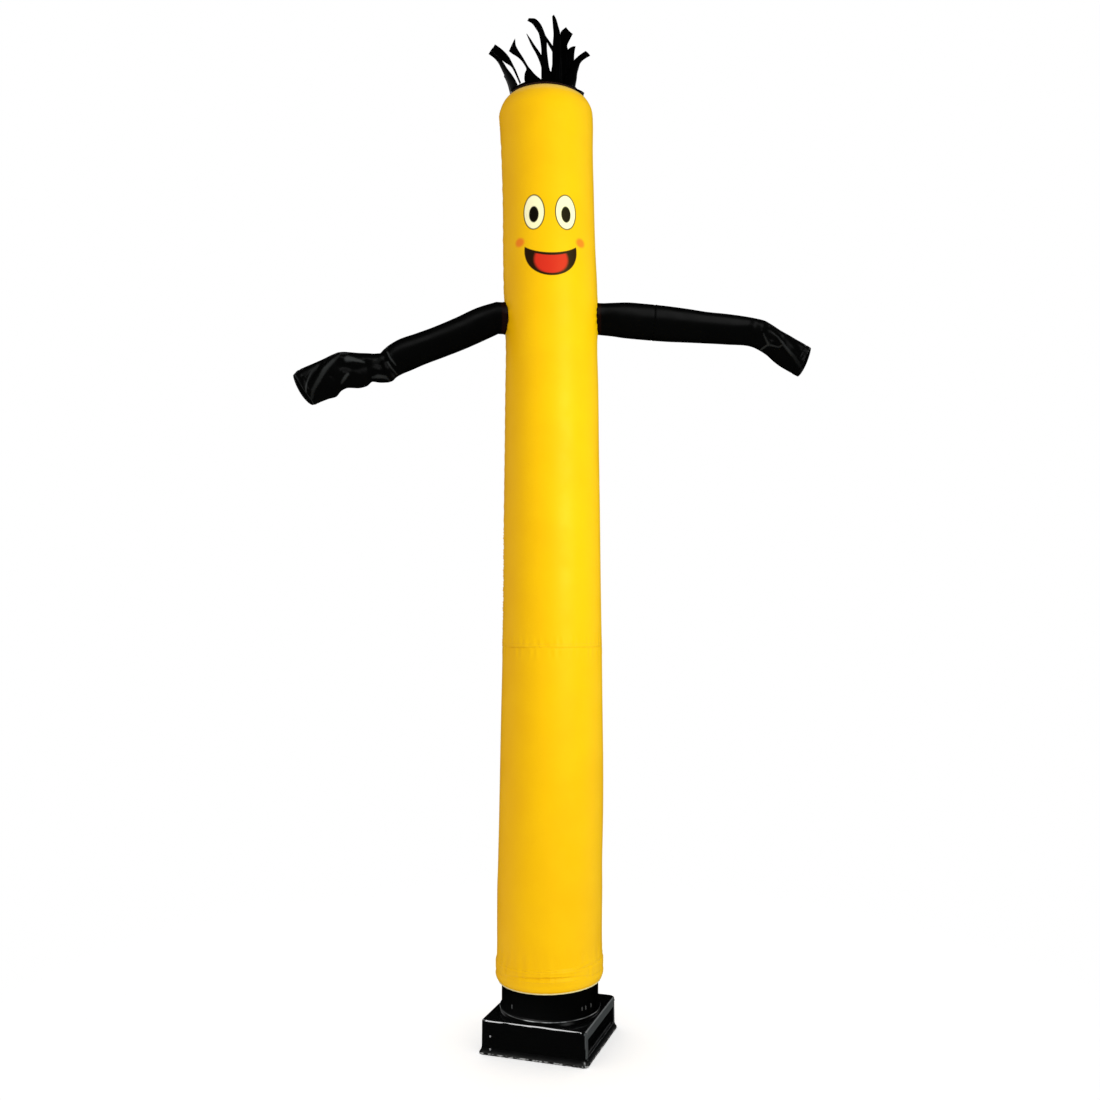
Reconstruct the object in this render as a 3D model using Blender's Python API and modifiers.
"""Inflatable air dancer: a tall yellow fabric tube with two open black sleeves for arms and a strip
fringe for hair, sleeved over the round outlet of a small square blower.

Metres, +Z up.  The origin is the middle of the blower's underside.  -Y is the front of the figure
and +X is the right-hand side of someone who faces it.
"""
import math
from collections import namedtuple

import bmesh
import bpy
from mathutils import Quaternion, Vector

# ------------------------------------------------------------------ driving dimensions, metres
MM = 0.001
GAP = 0.0003               # clearance between neighbouring pieces
CLOTH = 0.002              # thickness of every fabric wall
TUBE_SIDES = 40            # facets round the tube, the collar and the crown
SLEEVE_SIDES = 20          # facets round an arm

HOUSING_YAW = math.radians(-18.5)   # the blower stands turned under the figure
HOUSING_BACK = 0.005       # and this far behind the tube's axis
HOUSING_HALF = 0.1256      # half the width of the blower's side, at its top edge
HOUSING_DRAFT = 0.0006     # and this much more at the foot of the side
CORNER_STEPS = 4           # facets round each upright corner of the blower
PANEL_WIDTH = 0.212        # sunk panel in the blower's right-hand side
PANEL_LOW = 0.018
PANEL_HIGH = 0.062
PANEL_DEPTH = 0.004
GLAND_HEIGHT = 0.036       # cord gland on the blower's back

COLLAR_RADIUS = 0.1138     # outlet duct
COLLAR_WALL = 0.003
COLLAR_TOP = 0.186
FLANGE_RADIUS = 0.1185     # step round the foot of the duct
FLANGE_TOP = 0.0895

SEAM_Z = 0.934             # sewn joint between the tube's two panels
HEAD_RADIUS = 0.1090
HEAD_SHIFT = -0.0110       # the head leans this far to -X
SHOULDER_Z = 2.172         # where the head starts to round over
SHOULDER_RISE = 0.052
SHOULDER_INSET = 0.040
SHOULDER_ANGLES = (16, 32, 46, 59, 70)   # degrees round the shoulder's quarter ellipse

BAND_THICK = 0.0024        # backing strip of the fringe
BAND_HEIGHT = 0.0105
STRIP_THICK = 0.0015
STRIP_STEPS = 7
CAP_RISE = 0.020           # dome of the crown disc
CAP_CLEAR = 0.001          # room between the disc and the backing strip

ARM_HEIGHTS = {-1: 1.7020, 1: 1.7065}    # where the arm on the -X and the +X side leaves the tube
ARM_RADIUS = 0.0360        # sleeve at its root
ARM_HOLE_RADIUS = 0.0328   # air hole in the tube behind each sleeve
ARM_HOLE_CUT = 0.080       # length of the cutter that makes it

# ------------------------------------------------------------------ section tables
# Tube: a ring for each row.  shift moves its centre along X, tilt raises its +X side.
TubeRow = namedtuple("TubeRow", "z radius shift tilt")
HEM_ROWS = (
    TubeRow(0.1510, 0.1141, 0.0000, 0.003),   # lip, drawn in round the duct
    TubeRow(0.1514, 0.1182, -0.0004, 0.003),
    TubeRow(0.1540, 0.1221, -0.0008, 0.003),
    TubeRow(0.1592, 0.1252, -0.0012, 0.003),
    TubeRow(0.1665, 0.1264, -0.0012, 0.003),
    TubeRow(0.1985, 0.1264, -0.0012, 0.003),   # top of the turned-up hem
    TubeRow(0.2035, 0.1243, -0.0012, 0.003),
)
LOWER_ROWS = (
    TubeRow(0.2700, 0.1238, -0.0012, 0.002),
    TubeRow(0.3550, 0.1240, -0.0008, 0.000),
    TubeRow(0.4260, 0.1228, 0.0000, 0.000),
    TubeRow(0.5440, 0.1226, 0.0024, 0.000),
    TubeRow(0.6620, 0.1216, 0.0036, 0.000),
    TubeRow(0.7800, 0.1196, 0.0040, 0.000),
    TubeRow(0.8750, 0.1180, 0.0046, 0.000),
    TubeRow(SEAM_Z, 0.1172, 0.0048, 0.000),
)
UPPER_ROWS = (
    TubeRow(SEAM_Z, 0.1172, 0.0048, 0.000),
    TubeRow(1.0400, 0.1157, 0.0048, 0.000),
    TubeRow(1.2050, 0.1133, 0.0044, 0.000),
    TubeRow(1.3940, 0.1110, 0.0042, 0.000),
    TubeRow(1.5400, 0.1094, 0.0042, 0.000),
    TubeRow(1.6300, 0.1076, 0.0036, 0.000),
    TubeRow(1.7040, 0.1092, 0.0024, 0.000),
    TubeRow(1.7720, 0.1098, 0.0010, 0.000),
    TubeRow(1.8660, 0.1086, -0.0020, 0.000),
    TubeRow(1.9800, 0.1076, -0.0040, 0.000),
    TubeRow(2.1000, 0.1076, -0.0075, 0.000),
    TubeRow(SHOULDER_Z, HEAD_RADIUS, -0.0100, 0.000),
)

# Blower housing: a rounded square for each row, a flared skirt at the foot.
HousingRow = namedtuple("HousingRow", "z half corner")
HOUSING_ROWS = (
    HousingRow(0.0000, HOUSING_HALF + 0.0055, 0.0120),
    HousingRow(0.0030, HOUSING_HALF + 0.0055, 0.0120),
    HousingRow(0.0095, HOUSING_HALF + 0.0020, 0.0110),
    HousingRow(0.0165, HOUSING_HALF + HOUSING_DRAFT, 0.0110),
    HousingRow(0.0715, HOUSING_HALF, 0.0100),
    HousingRow(0.0755, HOUSING_HALF - 0.0010, 0.0100),
    HousingRow(0.0780, HOUSING_HALF - 0.0035, 0.0080),
)

# Sleeves, in millimetres, from the tube to the open mouth.  (top_x, top_z) and (low_x, low_z) are
# where a section meets the sleeve's upper and lower outline.  y is its middle and depth its size
# from front to back.  lens turns the ellipse (0) into two arcs that meet in an edge (1), and lean
# draws the front side back along the arm.
SleeveRow = namedtuple("SleeveRow", "top_x top_z low_x low_z y depth lens lean")
LEFT_SLEEVE = (
    SleeveRow(-126, 1739, -122, 1667, -11, 71, 0.0, 0),
    SleeveRow(-168, 1726, -145, 1656, -12, 72, 0.0, 0),
    SleeveRow(-222, 1701, -198, 1632, -13, 72, 0.0, 0),
    SleeveRow(-276, 1678, -251, 1611, -14, 72, 0.0, 0),
    SleeveRow(-318, 1663, -296, 1594, -14, 71, 0.0, 0),
    SleeveRow(-350, 1652, -325, 1581, -15, 68, 0.0, 0),
    SleeveRow(-378, 1636, -350, 1570, -16, 64, 0.0, 1),
    SleeveRow(-390, 1626, -360, 1563, -18, 52, 0.1, 2),
    SleeveRow(-400, 1617, -370, 1554, -19, 60, 0.1, 3),
    SleeveRow(-412, 1617, -381, 1551, -17, 50, 0.2, 3),
    SleeveRow(-426, 1618, -396, 1551, -15, 60, 0.1, 2),
    SleeveRow(-447, 1619, -416, 1553, -15, 54, 0.2, 1),
    SleeveRow(-466, 1620, -431, 1542, -17, 60, 0.1, 0),
    SleeveRow(-484, 1621, -450, 1537, -19, 52, 0.3, 0),
    SleeveRow(-499, 1622, -472, 1538, -18, 54, 0.2, 1),
    SleeveRow(-513, 1615, -488, 1532, -17, 50, 0.3, 2),
    SleeveRow(-531, 1605, -502, 1517, -17, 50, 0.3, 4),
    SleeveRow(-555, 1594, -519, 1512, -18, 46, 0.4, 5),
    SleeveRow(-576, 1585, -537, 1505, -18, 42, 0.5, 6),
    SleeveRow(-593, 1578, -551, 1500, -18, 40, 0.6, 6),
    SleeveRow(-604, 1568, -560, 1499, -18, 40, 0.7, 6),
)
RIGHT_SLEEVE = (
    SleeveRow(127, 1740, 126, 1669, 12, 71, 0.0, 0),
    SleeveRow(151, 1742, 146, 1667, 12, 75, 0.0, 0),
    SleeveRow(181, 1744, 175, 1663, 13, 80, 0.0, 0),
    SleeveRow(222, 1741, 216, 1659, 13, 81, 0.0, 0),
    SleeveRow(288, 1734, 281, 1654, 13, 79, 0.0, 0),
    SleeveRow(330, 1728, 324, 1652, 12, 76, 0.0, 0),
    SleeveRow(372, 1721, 364, 1650, 11, 73, 0.0, 0),
    SleeveRow(410, 1717, 400, 1648, 10, 72, 0.0, 0),
    SleeveRow(441, 1713, 430, 1646, 9, 70, 0.0, 0),
    SleeveRow(470, 1708, 452, 1645, 8, 66, 0.0, 1),
    SleeveRow(491, 1704, 466, 1643, 7, 58, 0.1, 2),
    SleeveRow(507, 1699, 480, 1639, 5, 62, 0.1, 2),
    SleeveRow(522, 1691, 494, 1632, 5, 54, 0.1, 1),
    SleeveRow(545, 1676, 511, 1622, 6, 60, 0.1, 0),
    SleeveRow(567, 1664, 531, 1604, 6, 56, 0.1, 2),
    SleeveRow(584, 1654, 545, 1593, 5, 56, 0.2, 3),
    SleeveRow(600, 1645, 561, 1583, 4, 52, 0.3, 4),
    SleeveRow(616, 1635, 585, 1570, 4, 50, 0.4, 5),
)

# Folds, in millimetres: a soft line from (x0, z0) to (x1, z1) on the sleeve's front or back, sunk by
# depth (raised if it is negative) and width wide.
Fold = namedtuple("Fold", "side x0 z0 x1 z1 depth width")
LEFT_FOLDS = (
    Fold("front", -397, 1614, -361, 1568, 6, 9),
    Fold("front", -380, 1619, -347, 1580, -2, 9),
    Fold("front", -425, 1585, -384, 1589, 5, 10),
    Fold("front", -422, 1565, -380, 1564, -5, 9),
    Fold("front", -474, 1608, -438, 1599, -5, 9),
    Fold("front", -482, 1585, -440, 1581, 6, 11),
    Fold("front", -488, 1543, -470, 1569, -4, 9),
    Fold("front", -503, 1605, -551, 1522, -6, 13),
    Fold("front", -540, 1591, -566, 1537, 4, 10),
    Fold("front", -492, 1545, -516, 1577, 5, 10),
    Fold("back", -396, 1612, -364, 1571, 5, 10),
    Fold("back", -462, 1603, -424, 1569, 6, 12),
    Fold("back", -515, 1593, -545, 1527, 5, 13),
)
RIGHT_FOLDS = (
    Fold("front", 500, 1686, 524, 1654, -4, 9),
    Fold("front", 524, 1654, 503, 1643, -4, 9),
    Fold("front", 524, 1654, 571, 1624, -5, 9),
    Fold("front", 531, 1676, 556, 1649, -3, 9),
    Fold("front", 514, 1686, 540, 1659, 5, 9),
    Fold("front", 530, 1639, 556, 1613, 5, 10),
    Fold("front", 490, 1671, 512, 1653, 4, 9),
    Fold("front", 572, 1649, 598, 1615, 4, 12),
    Fold("back", 498, 1693, 500, 1647, 5, 10),
    Fold("back", 530, 1671, 560, 1615, 5, 12),
)

# Fringe strips, in degrees and millimetres.  angle is the root's place round the crown, 0 at the
# front and growing towards +X, and root is the arc that it takes up.  The tip is given from the
# crown's centre and the band's top edge.  The strip first rises by lift, leaning out by flare times
# that, and then bends to its tip.  end is its width there, and twist its turn on the way.
Strip = namedtuple("Strip", "angle root tip_x tip_y tip_z lift flare end twist")
FRINGE = (
    Strip(-175, 14, -6, 128, 80, 90, 0.15, 22, 20),
    Strip(-158, 14, -40, 130, 62, 80, 0.15, 20, -30),
    Strip(-141, 14, -72, 116, 52, 75, 0.15, 22, 25),
    Strip(-124, 14, -52, 96, 52, 55, -0.10, 16, -40),
    Strip(-107, 14, -78, 56, 40, 40, -0.05, 20, 10),
    Strip(-89, 13, -98, 2, 52, 42, 0.15, 14, 20),
    Strip(-69, 14, -124, -40, 86, 60, 0.15, 26, 60),
    Strip(-51, 10, -110, -60, 84, 52, 0.10, 20, -25),
    Strip(-23, 15, -76, -82, 82, 24, 0.05, 20, 215),
    Strip(-4, 7, -41, -82, 103, 62, 0.00, 3, 20),
    Strip(7, 12, -40, -70, 141, 136, -0.04, 15, -10),
    Strip(23, 16, 19, -60, 158, 95, 0.05, 7, -25),
    Strip(38, 14, 57, -36, 137, 118, -0.20, 22, -40),
    Strip(54, 14, 101, -26, 85, 64, -0.12, 15, -35),
    Strip(70, 11, 92, -22, -14, 9, 0.40, 16, 0),
    Strip(85, 13, 66, -2, 112, 60, -0.35, 18, -75),
    Strip(101, 14, 46, 18, 118, 62, -0.40, 16, -60),
    Strip(118, 14, 58, 52, 92, 60, -0.15, 20, -45),
    Strip(135, 14, 44, 78, 126, 90, 0.00, 16, -30),
    Strip(152, 14, 30, 92, 150, 100, 0.05, 10, 20),
    Strip(169, 14, 20, 108, 112, 90, 0.10, 22, -20),
)


# ------------------------------------------------------------------ helpers
def clear_scene():
    for thing in list(bpy.data.objects):
        bpy.data.objects.remove(thing, do_unlink=True)


def new_collection(name):
    group = bpy.data.collections.new(name)
    bpy.context.scene.collection.children.link(group)
    return group


def finish(name, colour, roughness, metallic=0.0):
    """A Principled material of one colour."""
    material = bpy.data.materials.new(name)
    material.use_nodes = True
    shader = material.node_tree.nodes["Principled BSDF"]
    shader.inputs["Base Color"].default_value = (*colour, 1.0)
    shader.inputs["Roughness"].default_value = roughness
    shader.inputs["Metallic"].default_value = metallic
    return material


def mesh_object(name, mesh, material, collection):
    thing = bpy.data.objects.new(name, mesh)
    collection.objects.link(thing)
    if material:
        mesh.materials.append(material)
    mesh.shade_smooth()
    mesh.set_sharp_from_angle(angle=math.radians(35))
    return thing


def loft(name, rings, closed=False, capped=False):
    """A mesh through rings of equally many points.  closed joins the last ring to the first."""
    cage = bmesh.new()
    rows = [[cage.verts.new(point) for point in ring] for ring in rings]
    pairs = list(zip(rows, rows[1:]))
    if closed:
        pairs.append((rows[-1], rows[0]))
    sides = len(rows[0])
    for low, high in pairs:
        for i in range(sides):
            j = (i + 1) % sides
            cage.faces.new((low[i], low[j], high[j], high[i]))
    if capped:
        cage.faces.new(reversed(rows[0]))
        cage.faces.new(rows[-1])
    if closed or capped:
        bmesh.ops.recalc_face_normals(cage, faces=cage.faces)
    mesh = bpy.data.meshes.new(name)
    cage.to_mesh(mesh)
    cage.free()
    return mesh


def add_solidify(thing, thickness):
    """Cloth: the modelled surface is the outer side."""
    wall = thing.modifiers.new("cloth", "SOLIDIFY")
    wall.thickness = thickness
    wall.offset = -1.0
    wall.use_even_offset = True


def add_difference(thing, cutter):
    cut = thing.modifiers.new("cut_" + cutter.name, "BOOLEAN")
    cut.operation = "DIFFERENCE"
    cut.solver = "EXACT"
    cut.object = cutter


def as_cutter(thing, collection):
    for group in list(thing.users_collection):
        group.objects.unlink(thing)
    collection.objects.link(thing)
    thing.hide_render = True
    thing.display_type = "WIRE"
    return thing


def turned(name, profile, sides, material, collection, closed=True):
    """A profile of (radius, height) points turned about Z with a Screw modifier."""
    cage = bmesh.new()
    points = [cage.verts.new((radius, 0.0, height)) for radius, height in profile]
    pairs = list(zip(points, points[1:]))
    if closed:
        pairs.append((points[-1], points[0]))
    for start, end in pairs:
        cage.edges.new((start, end))
    mesh = bpy.data.meshes.new(name)
    cage.to_mesh(mesh)
    cage.free()
    thing = mesh_object(name, mesh, material, collection)
    screw = thing.modifiers.new("turn", "SCREW")
    screw.steps = sides
    screw.render_steps = sides
    screw.use_merge_vertices = True
    screw.merge_threshold = 0.0001
    screw.use_smooth_shade = True
    return thing


def around(sides):
    return [2.0 * math.pi * i / sides for i in range(sides)]


# ------------------------------------------------------------------ blower
def rounded_square(row):
    """One ring of the housing: a square with round corners."""
    ring = []
    for corner in range(4):
        middle = math.radians(45 + 90 * corner)
        reach = (row.half - row.corner) * math.sqrt(2.0)
        centre = Vector((math.cos(middle), math.sin(middle), 0.0)) * reach
        for step in range(CORNER_STEPS + 1):
            angle = middle + math.radians(90 * (step / CORNER_STEPS - 0.5))
            rim = Vector((math.cos(angle), math.sin(angle), 0.0)) * row.corner
            ring.append(centre + rim + Vector((0.0, 0.0, row.z)))
    return ring


def build_housing(parts, cutters):
    mesh = loft("blower_housing", [rounded_square(row) for row in HOUSING_ROWS], capped=True)
    plastic = finish("black_moulded_plastic", (0.012, 0.012, 0.013), 0.25)
    housing = mesh_object("blower_housing", mesh, plastic, parts)
    housing.location.y = HOUSING_BACK
    housing.rotation_euler.z = HOUSING_YAW

    bpy.ops.mesh.primitive_cube_add(size=1.0)
    panel = bpy.context.object
    panel.name = "side_panel_cutter"
    panel.scale = (2 * PANEL_DEPTH, PANEL_WIDTH, PANEL_HIGH - PANEL_LOW)
    bpy.ops.object.transform_apply(location=False, rotation=False, scale=True)
    bevel = panel.modifiers.new("round", "BEVEL")
    bevel.width = 0.75 * PANEL_DEPTH
    bevel.segments = 1
    side = Vector((math.cos(HOUSING_YAW), math.sin(HOUSING_YAW), 0.0)) * HOUSING_HALF
    panel.location = side + Vector((0.0, HOUSING_BACK, (PANEL_LOW + PANEL_HIGH) / 2))
    panel.rotation_euler.z = HOUSING_YAW
    add_difference(housing, as_cutter(panel, cutters))


def build_gland(parts):
    """Cord gland: a flange and a ribbed nut, on the blower's back."""
    profile = ((0.0050, 0.0135), (0.0075, 0.0130), (0.0088, 0.0110), (0.0088, 0.0030),
               (0.0120, 0.0028), (0.0125, 0.0020), (0.0125, 0.0000), (0.0, 0.0000),
               (0.0, 0.0090), (0.0050, 0.0090))
    rubber = finish("black_gland", (0.015, 0.015, 0.015), 0.55)
    gland = turned("cord_gland", profile, 16, rubber, parts)
    back = HOUSING_YAW + math.radians(90)
    seat = HOUSING_HALF + HOUSING_DRAFT + GAP
    gland.location = (seat * math.cos(back), seat * math.sin(back) + HOUSING_BACK, GLAND_HEIGHT)
    gland.rotation_euler = (0.0, math.radians(90), back)


def build_collar(parts):
    """Round outlet duct with a stepped foot.  The tube's hem is drawn in round it."""
    foot = HOUSING_ROWS[-1].z + GAP
    inner = COLLAR_RADIUS - COLLAR_WALL
    profile = (
        (COLLAR_RADIUS - 0.0008, COLLAR_TOP),
        (COLLAR_RADIUS, COLLAR_TOP - 0.0010),
        (COLLAR_RADIUS, FLANGE_TOP + 0.0008),
        (COLLAR_RADIUS + 0.0010, FLANGE_TOP),
        (FLANGE_RADIUS - 0.0010, FLANGE_TOP - 0.0004),
        (FLANGE_RADIUS, FLANGE_TOP - 0.0016),
        (FLANGE_RADIUS - 0.0006, foot),
        (inner, foot),
        (inner, COLLAR_TOP),
    )
    plastic = finish("black_duct_plastic", (0.010, 0.010, 0.011), 0.35)
    turned("outlet_collar", profile, TUBE_SIDES, plastic, parts)


# ------------------------------------------------------------------ tube
def tube_ring(row):
    return [Vector((row.shift + row.radius * math.cos(a), row.radius * math.sin(a),
                    row.z + row.tilt * math.cos(a))) for a in around(TUBE_SIDES)]


def shoulder_rows():
    """The rounded head: a quarter ellipse, cut off at the crown seam."""
    rows = []
    for degrees in SHOULDER_ANGLES:
        angle = math.radians(degrees)
        radius = HEAD_RADIUS - SHOULDER_INSET * (1.0 - math.cos(angle))
        height = SHOULDER_Z + SHOULDER_RISE * math.sin(angle)
        rows.append(TubeRow(height, radius, HEAD_SHIFT, 0.0))
    return rows


def tube_at(z):
    """Radius and centre of the upper panel's outer face at a height."""
    for low, high in zip(UPPER_ROWS, UPPER_ROWS[1:]):
        if low.z <= z <= high.z:
            share = (z - low.z) / (high.z - low.z)
            return (low.radius + share * (high.radius - low.radius),
                    low.shift + share * (high.shift - low.shift))
    raise ValueError("height is off the upper panel")


def build_tube(parts, cutters):
    yellow = finish("yellow_nylon", (0.90, 0.55, 0.02), 0.45)
    lower_rows = list(HEM_ROWS + LOWER_ROWS)
    lower_rows[-1] = lower_rows[-1]._replace(z=SEAM_Z - GAP / 2)
    lower = mesh_object("body_lower", loft("body_lower", map(tube_ring, lower_rows)), yellow, parts)
    add_solidify(lower, CLOTH)

    upper_rows = list(UPPER_ROWS) + shoulder_rows()
    upper_rows[0] = upper_rows[0]._replace(z=SEAM_Z + GAP / 2)
    yellow = finish("yellow_nylon_upper", (0.90, 0.55, 0.02), 0.45)
    upper = mesh_object("body_upper", loft("body_upper", map(tube_ring, upper_rows)), yellow, parts)
    add_solidify(upper, CLOTH)
    for side, sleeve in ((-1, LEFT_SLEEVE), (1, RIGHT_SLEEVE)):
        bpy.ops.mesh.primitive_cylinder_add(vertices=SLEEVE_SIDES, radius=ARM_HOLE_RADIUS,
                                            depth=ARM_HOLE_CUT)
        hole = bpy.context.object
        hole.name = "arm_hole_cutter"
        hole.location = (side * HEAD_RADIUS, sleeve[0].y * MM, ARM_HEIGHTS[side])
        hole.rotation_euler.y = math.radians(90)
        add_difference(upper, as_cutter(hole, cutters))


# ------------------------------------------------------------------ sleeves
def fold_depth(folds, x, z, facing):
    """How far the folds push a point of the sleeve in.  facing is 1 at the front, -1 at the back."""
    total = 0.0
    for fold in folds:
        share = facing if fold.side == "front" else -facing
        if share <= 0.0:
            continue
        start = Vector((fold.x0, fold.z0)) * MM
        along = Vector((fold.x1, fold.z1)) * MM - start
        offset = Vector((x, z)) - start
        near = max(0.0, min(1.0, offset.dot(along) / along.length_squared))
        distance = (offset - along * near).length
        total += share * fold.depth * MM * math.exp(-(distance / (fold.width * MM)) ** 2)
    return total


def root_ring(side, centre_y, inset):
    """The sleeve's end on the tube: a circle laid against the tube's round face."""
    ring = []
    for angle in around(SLEEVE_SIDES):
        radius = ARM_RADIUS - inset
        y = centre_y - radius * math.sin(angle)
        z = ARM_HEIGHTS[side] + radius * math.cos(angle)
        tube_radius, shift = tube_at(z)
        x = shift + side * math.sqrt((tube_radius + GAP) ** 2 - y * y)
        ring.append(Vector((x, y, z)))
    return ring


def section_outline(row):
    """(height, depth) points of one section: an ellipse that lens draws out to an edge."""
    half_height = math.hypot(row.top_x - row.low_x, row.top_z - row.low_z) * MM / 2
    half_depth = row.depth * MM / 2
    return [Vector((half_height * math.cos(a), half_depth * math.sin(a) * abs(math.sin(a)) ** row.lens))
            for a in around(SLEEVE_SIDES)]


def sleeve_ring(row, folds, side, inset):
    """One section.  inset is 0 for the outer face and the cloth's thickness for the inner one."""
    top = Vector((row.top_x, 0.0, row.top_z)) * MM
    low = Vector((row.low_x, 0.0, row.low_z)) * MM
    middle = (top + low) / 2 + Vector((0.0, row.y * MM, 0.0))
    up = (top - low).normalized()
    outward = Vector((up.z, 0.0, -up.x)) * side
    outline = section_outline(row)
    ring = []
    for i, angle in enumerate(around(SLEEVE_SIDES)):
        chord = outline[(i + 1) % SLEEVE_SIDES] - outline[i - 1]
        height, depth = outline[i] + Vector((-chord.y, chord.x)).normalized() * inset
        facing = math.sin(angle)
        point = middle + up * height - outward * row.lean * MM * facing
        sunk = fold_depth(folds, point.x, point.z, facing)
        point.y += (sunk if facing > 0 else -sunk) - depth
        ring.append(point)
    return ring


def build_sleeve(name, side, rows, folds, parts):
    """An open fabric sleeve: its outer face out to the mouth, and its inner face back."""
    def face(inset):
        rings = [root_ring(side, rows[0].y * MM, inset)]
        return rings + [sleeve_ring(row, folds, side, inset) for row in rows]

    mesh = loft(name, face(0.0) + face(CLOTH)[::-1], closed=True)
    mesh_object(name, mesh, finish("black_nylon_" + name, (0.012, 0.012, 0.013), 0.5), parts)


# ------------------------------------------------------------------ crown and fringe
def crown_seam():
    """Radius and height of the edge that the tube's shoulder ends at."""
    last = shoulder_rows()[-1]
    return last.radius, last.z


def build_cap(parts):
    """Domed disc that closes the head inside the fringe's band."""
    seam_radius, seam_z = crown_seam()
    rim = seam_radius - BAND_THICK - CAP_CLEAR
    rings = 5
    profile = []
    for i in range(rings + 1):
        radius = rim * i / rings
        profile.append((radius, CAP_RISE * (1.0 - (radius / rim) ** 2)))
    yellow = finish("yellow_nylon_cap", (0.90, 0.55, 0.02), 0.45)
    cap = turned("crown_cap", profile, TUBE_SIDES, yellow, parts, closed=False)
    cap.location = (HEAD_SHIFT, 0.0, seam_z + CLOTH)
    add_solidify(cap, CLOTH)


def crown_point(radius, degrees, height):
    angle = math.radians(degrees)
    return Vector((HEAD_SHIFT + radius * math.sin(angle), -radius * math.cos(angle), height))


def strip_sections(strip, outer, inner, top):
    """Four-sided sections of one strip above its root, which bends from upright to its tip."""
    root = crown_point((outer + inner) / 2, strip.angle, top)
    tip = Vector((HEAD_SHIFT + strip.tip_x * MM, strip.tip_y * MM, top + strip.tip_z * MM))
    out = crown_point(1.0, strip.angle, 0.0) - crown_point(0.0, strip.angle, 0.0)
    knee = root + (Vector((0.0, 0.0, 1.0)) + out * strip.flare) * strip.lift * MM
    across = Vector((-out.y, out.x, 0.0))
    root_width = 2.0 * outer * math.sin(math.radians(strip.root / 2))
    sections = []
    for step in range(1, STRIP_STEPS + 1):
        share = step / STRIP_STEPS
        centre = root * (1 - share) ** 2 + knee * (2 * share * (1 - share)) + tip * share ** 2
        heading = ((knee - root) * (1 - share) + (tip - knee) * share).normalized()
        across = (across - heading * across.dot(heading)).normalized()
        wide = Quaternion(heading, math.radians(strip.twist) * share) @ across
        flat = heading.cross(wide)
        half = (root_width + (strip.end * MM - root_width) * share ** 1.5) / 2
        thick = (BAND_THICK + (STRIP_THICK - BAND_THICK) * min(1.0, 2.5 * share)) / 2
        sections.append([centre - wide * half + flat * thick, centre + wide * half + flat * thick,
                         centre + wide * half - flat * thick, centre - wide * half - flat * thick])
    return sections


def build_fringe(parts):
    """Hair: strips that rise from the top edge of one narrow band round the crown."""
    seam_radius, seam_z = crown_seam()
    outer = seam_radius
    inner = outer - BAND_THICK
    low = seam_z + GAP
    top = low + BAND_HEIGHT
    cage = bmesh.new()
    columns = []
    for strip in FRINGE:
        for edge in (-0.5, 0.5):
            angle = strip.angle + edge * strip.root
            corners = ((outer, low), (outer, top), (inner, top), (inner, low))
            columns.append([cage.verts.new(crown_point(r, angle, z)) for r, z in corners])
    for index, column in enumerate(columns):
        following = columns[(index + 1) % len(columns)]
        for i in range(4):
            j = (i + 1) % 4
            is_root = index % 2 == 0 and i == 1
            if not is_root:
                cage.faces.new((column[i], following[i], following[j], column[j]))
        if index % 2 == 0:
            below = [column[1], following[1], following[2], column[2]]
            for section in strip_sections(FRINGE[index // 2], outer, inner, top):
                above = [cage.verts.new(point) for point in section]
                for i in range(4):
                    j = (i + 1) % 4
                    cage.faces.new((below[i], below[j], above[j], above[i]))
                below = above
            cage.faces.new(below)
    bmesh.ops.recalc_face_normals(cage, faces=cage.faces)
    mesh = bpy.data.meshes.new("hair_fringe")
    cage.to_mesh(mesh)
    cage.free()
    mesh_object("hair_fringe", mesh, finish("black_fringe", (0.010, 0.010, 0.010), 0.6), parts)


def main():
    clear_scene()
    parts = new_collection("air_dancer")
    cutters = new_collection("air_dancer_cutters")
    build_housing(parts, cutters)
    build_gland(parts)
    build_collar(parts)
    build_tube(parts, cutters)
    build_sleeve("arm_left", -1, LEFT_SLEEVE, LEFT_FOLDS, parts)
    build_sleeve("arm_right", 1, RIGHT_SLEEVE, RIGHT_FOLDS, parts)
    build_cap(parts)
    build_fringe(parts)


main()
